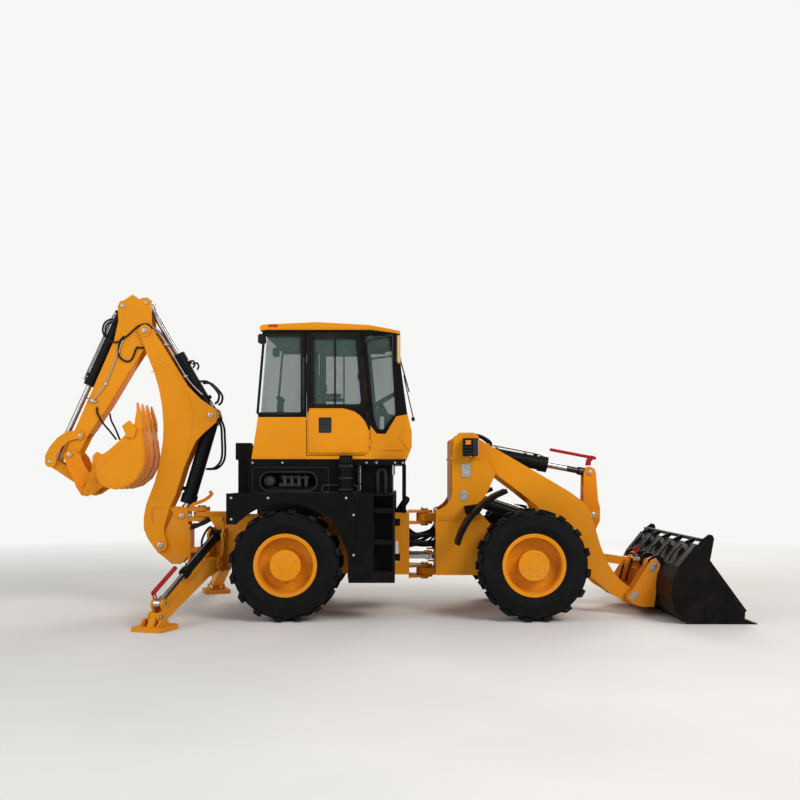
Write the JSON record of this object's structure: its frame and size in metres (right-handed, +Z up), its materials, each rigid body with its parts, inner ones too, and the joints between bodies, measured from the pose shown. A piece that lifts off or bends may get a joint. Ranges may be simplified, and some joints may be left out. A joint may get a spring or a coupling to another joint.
{
  "type": "articulated backhoe loader",
  "caption": "Articulated wheeled loader with a cab, a front bucket on lift arms, and a swinging rear digging arm with stabilisers, on large tyres.",
  "frame": {"origin": "on the ground, under the middle of the machine's box", "axes": "+X forward to the loader bucket, +Y to the machine's left, +Z up"},
  "size_m": [7.038, 3.388, 3.275],
  "materials": {
    "yellow": "gloss enamel",
    "black": "satin enamel",
    "tyre": "worn rubber",
    "glass": "clear, green tint",
    "chrome": "polished rod",
    "engine": "painted casting",
    "trim": "grained"
  },
  "bodies": {
    "rear": {"rear_frame": "yellow", "engine": "engine", "engine_cover": "black", "rear_fenders": "black", "rear_axle": "yellow", "cab_body": "yellow", "cab_pillars": "black", "cab_roof": "yellow", "cab_glass": "glass", "seat_and_controls": "trim"},
    "door_right": {"door_right": "yellow", "door_glass_right": "glass"},
    "door_left": {"door_left": "yellow", "door_glass_left": "glass"},
    "steering_barrel_right": {"steering_barrel_right": "black"},
    "steering_barrel_left": {"steering_barrel_left": "black"},
    "steering_rod_right": {"steering_rod_right": "chrome"},
    "steering_rod_left": {"steering_rod_left": "chrome"},
    "swing_post": {"swing_post": "yellow"},
    "boom": {"boom": "yellow"},
    "boom_barrel": {"boom_barrel": "black"},
    "boom_rod": {"boom_rod": "chrome"},
    "dipper": {"dipper": "yellow"},
    "dipper_barrel": {"dipper_barrel": "black"},
    "dipper_rod": {"dipper_rod": "chrome"},
    "dig_barrel": {"dig_barrel": "black"},
    "dig_rod": {"dig_rod": "chrome"},
    "dig_rocker": {"dig_rocker": "yellow"},
    "dig_link": {"dig_link": "yellow"},
    "dig_hitch": {"dig_hitch": "yellow", "dig_bucket": "yellow"},
    "leg_right": {"leg_right": "yellow"},
    "leg_left": {"leg_left": "yellow"},
    "pad_right": {"pad_right": "yellow"},
    "pad_left": {"pad_left": "yellow"},
    "leg_barrel_right": {"leg_barrel_right": "black"},
    "leg_barrel_left": {"leg_barrel_left": "black"},
    "leg_rod_right": {"leg_rod_right": "chrome"},
    "leg_rod_left": {"leg_rod_left": "chrome"},
    "front": {"front_frame": "yellow", "front_axle": "yellow", "front_fenders": "black", "headlamps": "black"},
    "wheel_front_right": {"tyre_front_right": "tyre", "rim_front_right": "yellow"},
    "wheel_front_left": {"tyre_front_left": "tyre", "rim_front_left": "yellow"},
    "wheel_rear_right": {"tyre_rear_right": "tyre", "rim_rear_right": "yellow"},
    "wheel_rear_left": {"tyre_rear_left": "tyre", "rim_rear_left": "yellow"},
    "loader_arms": {"loader_arms": "yellow"},
    "lift_barrels": {"lift_barrels": "black"},
    "lift_rods": {"lift_rods": "chrome"},
    "bellcrank": {"bellcrank": "yellow"},
    "tilt_barrel": {"tilt_barrel": "black"},
    "tilt_rod": {"tilt_rod": "chrome"},
    "tilt_link": {"tilt_link": "yellow"},
    "loader_hitch": {"loader_hitch": "yellow", "loader_bucket": "black"}
  },
  "joints": [
    {"name": "steering", "type": "hinge", "parent": "rear", "child": "front", "pos_m": [0.412, 0, 0], "axis": [0, 0, 1], "range_deg": [-30, 30]},
    {"name": "wheel_front_right_spin", "type": "hinge", "parent": "front", "child": "wheel_front_right", "pos_m": [1.439, -0.83, 0.5375], "axis": [0, 1, 0], "continuous": true},
    {"name": "wheel_rear_right_spin", "type": "hinge", "parent": "rear", "child": "wheel_rear_right", "pos_m": [-0.931, -0.83, 0.5375], "axis": [0, 1, 0], "continuous": true},
    {"name": "door_right_swing", "type": "hinge", "parent": "rear", "child": "door_right", "pos_m": [-0.135, -0.75, 1.594], "axis": [0, 0, 1], "range_deg": [0, 80]},
    {"name": "steering_barrel_right_pivot", "type": "hinge", "parent": "rear", "child": "steering_barrel_right", "pos_m": [-0.148, -0.29, 0.57], "axis": [0, 0, 1], "range_deg": [-4, 4]},
    {"name": "steering_rod_right_slide", "type": "slide", "parent": "steering_barrel_right", "child": "steering_rod_right", "axis": [0.9999, -0.0161, 0], "range_m": [-0.17, 0.17]},
    {"name": "leg_right_fold", "type": "hinge", "parent": "rear", "child": "leg_right", "pos_m": [-1.708, -0.47, 0.51], "axis": [-0.9511, 0.309, 0], "range_deg": [0, 80]},
    {"name": "pad_right_tilt", "type": "hinge", "parent": "leg_right", "child": "pad_right", "pos_m": [-2.04429, -1.505, 0.118], "axis": [-0.9511, 0.309, 0], "range_deg": [-15, 15]},
    {"name": "leg_barrel_right_pivot", "type": "hinge", "parent": "rear", "child": "leg_barrel_right", "pos_m": [-1.68328, -0.39392, 0.8], "axis": [-0.9511, 0.309, 0], "range_deg": [0, 80]},
    {"name": "leg_rod_right_slide", "type": "slide", "parent": "leg_barrel_right", "child": "leg_rod_right", "axis": [-0.2749, -0.8461, -0.4568], "range_m": [-0.42, 0]},
    {"name": "wheel_front_left_spin", "type": "hinge", "parent": "front", "child": "wheel_front_left", "pos_m": [1.439, 0.83, 0.5375], "axis": [0, 1, 0], "continuous": true},
    {"name": "wheel_rear_left_spin", "type": "hinge", "parent": "rear", "child": "wheel_rear_left", "pos_m": [-0.931, 0.83, 0.5375], "axis": [0, 1, 0], "continuous": true},
    {"name": "door_left_swing", "type": "hinge", "parent": "rear", "child": "door_left", "pos_m": [-0.135, 0.75, 1.594], "axis": [0, 0, -1], "range_deg": [0, 80]},
    {"name": "steering_barrel_left_pivot", "type": "hinge", "parent": "rear", "child": "steering_barrel_left", "pos_m": [-0.148, 0.29, 0.57], "axis": [0, 0, 1], "range_deg": [-4, 4]},
    {"name": "steering_rod_left_slide", "type": "slide", "parent": "steering_barrel_left", "child": "steering_rod_left", "axis": [0.9999, 0.0161, 0], "range_m": [-0.17, 0.17]},
    {"name": "leg_left_fold", "type": "hinge", "parent": "rear", "child": "leg_left", "pos_m": [-1.708, 0.47, 0.51], "axis": [0.9511, 0.309, 0], "range_deg": [0, 80]},
    {"name": "pad_left_tilt", "type": "hinge", "parent": "leg_left", "child": "pad_left", "pos_m": [-2.04429, 1.505, 0.118], "axis": [0.9511, 0.309, 0], "range_deg": [-15, 15]},
    {"name": "leg_barrel_left_pivot", "type": "hinge", "parent": "rear", "child": "leg_barrel_left", "pos_m": [-1.68328, 0.39392, 0.8], "axis": [0.9511, 0.309, 0], "range_deg": [0, 80]},
    {"name": "leg_rod_left_slide", "type": "slide", "parent": "leg_barrel_left", "child": "leg_rod_left", "axis": [-0.2749, 0.8461, -0.4568], "range_m": [-0.42, 0]},
    {"name": "boom_swing", "type": "hinge", "parent": "rear", "child": "swing_post", "pos_m": [-1.918, 0, 0.78], "axis": [0, 0, 1], "range_deg": [-80, 80]},
    {"name": "boom_lower", "type": "hinge", "parent": "swing_post", "child": "boom", "pos_m": [-2.319, 0, 0.675], "axis": [0, -1, 0], "range_deg": [0, 100]},
    {"name": "boom_barrel_pivot", "type": "hinge", "parent": "boom", "child": "boom_barrel", "pos_m": [-1.797, 0, 2.022], "axis": [0, -1, 0], "range_deg": [0, 12]},
    {"name": "boom_rod_slide", "type": "slide", "parent": "boom_barrel", "child": "boom_rod", "axis": [-0.2808, 0, -0.9598], "range_m": [0, 0.56]},
    {"name": "dipper_out", "type": "hinge", "parent": "boom", "child": "dipper", "pos_m": [-2.481, 0, 2.894], "axis": [0, 1, 0], "range_deg": [0, 105]},
    {"name": "dipper_barrel_pivot", "type": "hinge", "parent": "boom", "child": "dipper_barrel", "pos_m": [-1.797, 0, 2.022], "axis": [0, 1, 0], "range_deg": [0, 9]},
    {"name": "dipper_rod_slide", "type": "slide", "parent": "dipper_barrel", "child": "dipper_rod", "axis": [-0.4997, 0, 0.8662], "range_m": [-0.5, 0]},
    {"name": "dig_bucket_open", "type": "hinge", "parent": "dipper", "child": "dig_hitch", "pos_m": [-3.253, 0, 1.61], "axis": [0, 1, 0], "range_deg": [0, 150]},
    {"name": "dig_rocker_turn", "type": "hinge", "parent": "dipper", "child": "dig_rocker", "pos_m": [-3.155, 0, 1.806], "axis": [0, 1, 0], "range_deg": [0, 105]},
    {"name": "dig_link_turn", "type": "hinge", "parent": "dig_rocker", "child": "dig_link", "pos_m": [-3.464, 0, 1.535], "axis": [0, 1, 0], "range_deg": [-24, 5]},
    {"name": "dig_barrel_pivot", "type": "hinge", "parent": "dipper", "child": "dig_barrel", "pos_m": [-2.721, 0, 3.16], "axis": [0, 1, 0], "range_deg": [0, 13]},
    {"name": "dig_rod_slide", "type": "slide", "parent": "dig_barrel", "child": "dig_rod", "axis": [-0.4158, 0, -0.9094], "range_m": [-0.63, 0]},
    {"name": "loader_lift", "type": "hinge", "parent": "front", "child": "loader_arms", "pos_m": [0.845, 0, 1.572], "axis": [0, -1, 0], "range_deg": [0, 86]},
    {"name": "lift_barrels_pivot", "type": "hinge", "parent": "front", "child": "lift_barrels", "pos_m": [0.804, 0, 1.188], "axis": [0, -1, 0], "range_deg": [0, 79]},
    {"name": "lift_rods_slide", "type": "slide", "parent": "lift_barrels", "child": "lift_rods", "axis": [0.9471, 0, -0.3208], "range_m": [0, 0.52]},
    {"name": "tilt_barrel_pivot", "type": "hinge", "parent": "front", "child": "tilt_barrel", "pos_m": [0.954, 0, 1.65], "axis": [0, -1, 0], "range_deg": [0, 96]},
    {"name": "loader_dump", "type": "hinge", "parent": "loader_arms", "child": "loader_hitch", "pos_m": [2.473, 0, 0.183], "axis": [0, 1, 0], "range_deg": [-45, 120]},
    {"name": "bellcrank_turn", "type": "hinge", "parent": "loader_arms", "child": "bellcrank", "pos_m": [2.144, 0, 0.988], "axis": [0, -1, 0], "range_deg": [-23, 61]},
    {"name": "tilt_link_turn", "type": "hinge", "parent": "loader_hitch", "child": "tilt_link", "pos_m": [2.536, 0, 0.499], "axis": [0, -1, 0], "range_deg": [-40, 104]},
    {"name": "tilt_rod_slide", "type": "slide", "parent": "tilt_barrel", "child": "tilt_rod", "axis": [0.9825, 0, -0.1865], "range_m": [-0.34, 0.13]}
  ],
  "couplings": [
    {"joint": "steering_barrel_right_pivot", "follows": "steering", "ratio": 0.0794},
    {"joint": "steering_rod_right_slide", "follows": "steering", "m_per_rad": 0.2903},
    {"joint": "leg_barrel_right_pivot", "follows": "leg_right_fold", "ratio": 0.98},
    {"joint": "leg_rod_right_slide", "follows": "leg_right_fold", "m_per_rad": -0.2757},
    {"joint": "steering_barrel_left_pivot", "follows": "steering", "ratio": 0.0794},
    {"joint": "steering_rod_left_slide", "follows": "steering", "m_per_rad": -0.2903},
    {"joint": "leg_barrel_left_pivot", "follows": "leg_left_fold", "ratio": 0.98},
    {"joint": "leg_rod_left_slide", "follows": "leg_left_fold", "m_per_rad": -0.2757},
    {"joint": "boom_barrel_pivot", "follows": "boom_lower", "ratio": 0.1139},
    {"joint": "boom_rod_slide", "follows": "boom_lower", "m_per_rad": 0.3001},
    {"joint": "dipper_barrel_pivot", "follows": "dipper_out", "ratio": 0.0711},
    {"joint": "dipper_rod_slide", "follows": "dipper_out", "m_per_rad": -0.25},
    {"joint": "dig_rocker_turn", "follows": "dig_bucket_open", "ratio": 0.695},
    {"joint": "dig_link_turn", "follows": "dig_bucket_open", "ratio": -0.149},
    {"joint": "dig_barrel_pivot", "follows": "dig_bucket_open", "ratio": 0.07},
    {"joint": "dig_rod_slide", "follows": "dig_bucket_open", "m_per_rad": -0.237},
    {"joint": "lift_barrels_pivot", "follows": "loader_lift", "ratio": 0.8985},
    {"joint": "lift_rods_slide", "follows": "loader_lift", "m_per_rad": 0.339},
    {"joint": "tilt_barrel_pivot", "follows": "loader_lift", "ratio": 1.1025},
    {"joint": "bellcrank_turn", "follows": "loader_dump", "ratio": 0.5},
    {"joint": "tilt_link_turn", "follows": "loader_dump", "ratio": 0.85},
    {"joint": "tilt_rod_slide", "follows": "loader_dump", "m_per_rad": -0.15}
  ]
}
